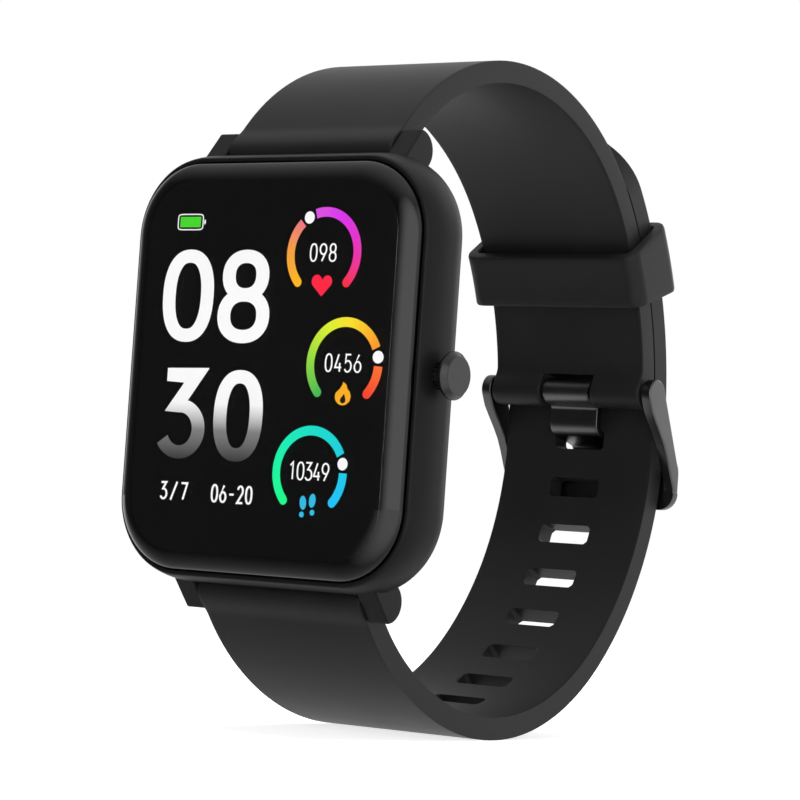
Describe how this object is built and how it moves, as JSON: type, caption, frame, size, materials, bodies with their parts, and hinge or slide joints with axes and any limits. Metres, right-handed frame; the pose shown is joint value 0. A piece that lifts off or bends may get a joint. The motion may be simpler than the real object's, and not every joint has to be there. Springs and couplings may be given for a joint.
{
  "type": "smartwatch",
  "caption": "Rectangular smartwatch with a curved cover glass, side crown and a two-piece silicone strap closed in a loop by a pin buckle and a keeper.",
  "frame": {"origin": "middle of the skin side of the back cover, where the wrist bears on it", "axes": "+Z towards 12 o'clock, +X towards the crown, the display faces -Y and the closed strap loop lies towards +Y"},
  "size_m": [0.0421, 0.066, 0.0742],
  "materials": {
    "case_paint": "matte dark grey, almost black",
    "cover_glass": "polished black-bordered cover glass",
    "display": "display module with a printed border",
    "inner_plastic": "moulded plastic",
    "battery_foil": "satin foil pouch",
    "board": "green solder mask",
    "chip_plastic": "moulded package",
    "shield_steel": "satin",
    "sensor_window": "polished dark window",
    "back_plastic": "fine matte black",
    "seal_rubber": "matte",
    "screw_steel": "blackened",
    "gold_contact": "plated",
    "magnet": "nickel plated",
    "steel_pin": "satin",
    "crown_paint": "satin dark grey",
    "strap_silicone": "matte soft-touch black",
    "keeper_silicone": "matte soft-touch black",
    "buckle_metal": "dark gunmetal, satin"
  },
  "bodies": {
    "case": {"mid_case": "case_paint", "cover_glass": "cover_glass", "glass_adhesive": "seal_rubber", "display_panel": "display", "display_frame": "inner_plastic", "battery": "battery_foil", "main_board": "board", "board_chips": "chip_plastic", "board_shield": "shield_steel", "vibration_motor": "shield_steel", "sensor_board": "board", "sensor_emitters": "chip_plastic", "sensor_window": "sensor_window", "back_cover": "back_plastic", "back_seal": "seal_rubber", "back_screws": "screw_steel", "charge_contacts": "gold_contact", "charge_magnets": "magnet", "side_switch": "shield_steel", "crown_bushing": "steel_pin", "crown_seal": "seal_rubber", "upper_bar_tube": "steel_pin", "upper_bar_spring": "steel_pin", "lower_bar_tube": "steel_pin", "lower_bar_spring": "steel_pin"},
    "crown_plunger": {"crown_clip": "steel_pin"},
    "crown": {"crown_shaft": "steel_pin", "crown_head": "crown_paint"},
    "upper_pin_left": {"upper_bar_pin_left": "steel_pin"},
    "upper_pin_right": {"upper_bar_pin_right": "steel_pin"},
    "lower_pin_left": {"lower_bar_pin_left": "steel_pin"},
    "lower_pin_right": {"lower_bar_pin_right": "steel_pin"},
    "upper_strap": {"upper_strap": "strap_silicone", "buckle_bar_tube": "steel_pin", "buckle_bar_spring": "steel_pin"},
    "keeper": {"keeper_loop": "keeper_silicone"},
    "buckle": {"buckle_frame": "buckle_metal"},
    "tongue": {"buckle_tongue": "buckle_metal"},
    "buckle_pin_left": {"buckle_bar_pin_left": "steel_pin"},
    "buckle_pin_right": {"buckle_bar_pin_right": "steel_pin"},
    "lower_strap": {"lower_strap": "strap_silicone", "strap_tail": "strap_silicone"}
  },
  "joints": [
    {"name": "lower_strap_swing", "type": "hinge", "parent": "case", "child": "lower_strap", "pos_m": [0, -0.0024, -0.0235], "axis": [-1, 0, 0], "range_deg": [0, 60], "deforming": ["strap_tail"]},
    {"name": "upper_strap_swing", "type": "hinge", "parent": "case", "child": "upper_strap", "pos_m": [0, -0.0024, 0.0235], "axis": [1, 0, 0], "range_deg": [0, 45]},
    {"name": "buckle_swing", "type": "hinge", "parent": "upper_strap", "child": "buckle", "pos_m": [0, 0.0493, 0.00205], "axis": [1, 0, 0], "range_deg": [0, 18]},
    {"name": "tongue_swing", "type": "hinge", "parent": "upper_strap", "child": "tongue", "pos_m": [0, 0.0493, 0.00205], "axis": [1, 0, 0], "range_deg": [0, 45]},
    {"name": "keeper_slide", "type": "hinge", "parent": "upper_strap", "child": "keeper", "pos_m": [0, 0.00897, -0.00085], "axis": [1, 0, 0], "range_deg": [-8, 8]},
    {"name": "crown_press", "type": "slide", "parent": "case", "child": "crown_plunger", "axis": [-1, 0, 0], "range_m": [0, 0.0004], "stiffness_N_per_m": 1500, "springref_m": -0.0004},
    {"name": "crown_spin", "type": "hinge", "parent": "crown_plunger", "child": "crown", "pos_m": [0.02, -0.00485, 0], "axis": [1, 0, 0], "continuous": true},
    {"name": "upper_pin_left_slide", "type": "slide", "parent": "case", "child": "upper_pin_left", "axis": [1, 0, 0], "range_m": [0, 0.00105], "stiffness_N_per_m": 600, "springref_m": -0.0015, "deforming": ["upper_bar_spring"]},
    {"name": "upper_pin_right_slide", "type": "slide", "parent": "case", "child": "upper_pin_right", "axis": [-1, 0, 0], "range_m": [0, 0.00105], "stiffness_N_per_m": 600, "springref_m": -0.0015},
    {"name": "lower_pin_left_slide", "type": "slide", "parent": "case", "child": "lower_pin_left", "axis": [1, 0, 0], "range_m": [0, 0.00105], "stiffness_N_per_m": 600, "springref_m": -0.0015, "deforming": ["lower_bar_spring"]},
    {"name": "lower_pin_right_slide", "type": "slide", "parent": "case", "child": "lower_pin_right", "axis": [-1, 0, 0], "range_m": [0, 0.00105], "stiffness_N_per_m": 600, "springref_m": -0.0015},
    {"name": "buckle_pin_left_slide", "type": "slide", "parent": "upper_strap", "child": "buckle_pin_left", "axis": [1, 0, 0], "range_m": [0, 0.00085], "stiffness_N_per_m": 600, "springref_m": -0.0015, "deforming": ["buckle_bar_spring"]},
    {"name": "buckle_pin_right_slide", "type": "slide", "parent": "upper_strap", "child": "buckle_pin_right", "axis": [-1, 0, 0], "range_m": [0, 0.00085], "stiffness_N_per_m": 600, "springref_m": -0.0015}
  ],
  "couplings": [
    {"joint": "upper_strap_swing", "follows": "lower_strap_swing", "ratio": 0.75},
    {"joint": "buckle_swing", "follows": "lower_strap_swing", "ratio": 0.3},
    {"joint": "tongue_swing", "follows": "lower_strap_swing", "ratio": 0.75}
  ]
}
